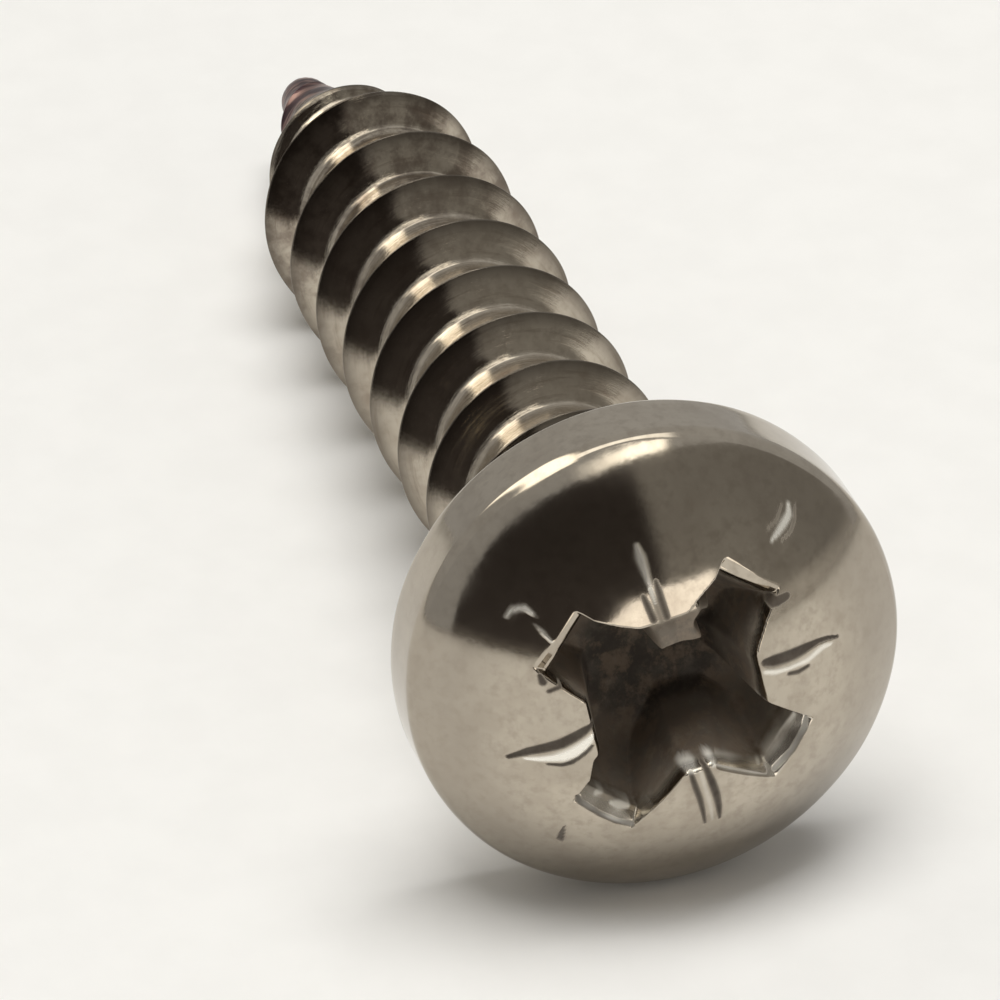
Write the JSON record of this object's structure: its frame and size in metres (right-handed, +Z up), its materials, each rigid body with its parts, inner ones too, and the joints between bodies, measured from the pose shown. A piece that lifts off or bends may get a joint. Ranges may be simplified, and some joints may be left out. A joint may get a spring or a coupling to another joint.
{
  "type": "self-tapping screw",
  "caption": "Bright pan-head self-tapping screw with a cross recess, short tick marks between its wings, a coarse right-hand thread and a blunt gimlet point.",
  "frame": {"origin": "on the floor, under the middle of the screw as it lies", "axes": "+X from the head towards the point along the floor, +Z up; the screw's axis falls by 6.7 degrees towards the point, in the XZ plane"},
  "size_m": [0.024, 0.0078, 0.0079],
  "materials": {
    "metal": "bright, lightly worn"
  },
  "bodies": {
    "root": {"screw": "metal"}
  },
  "joints": []
}
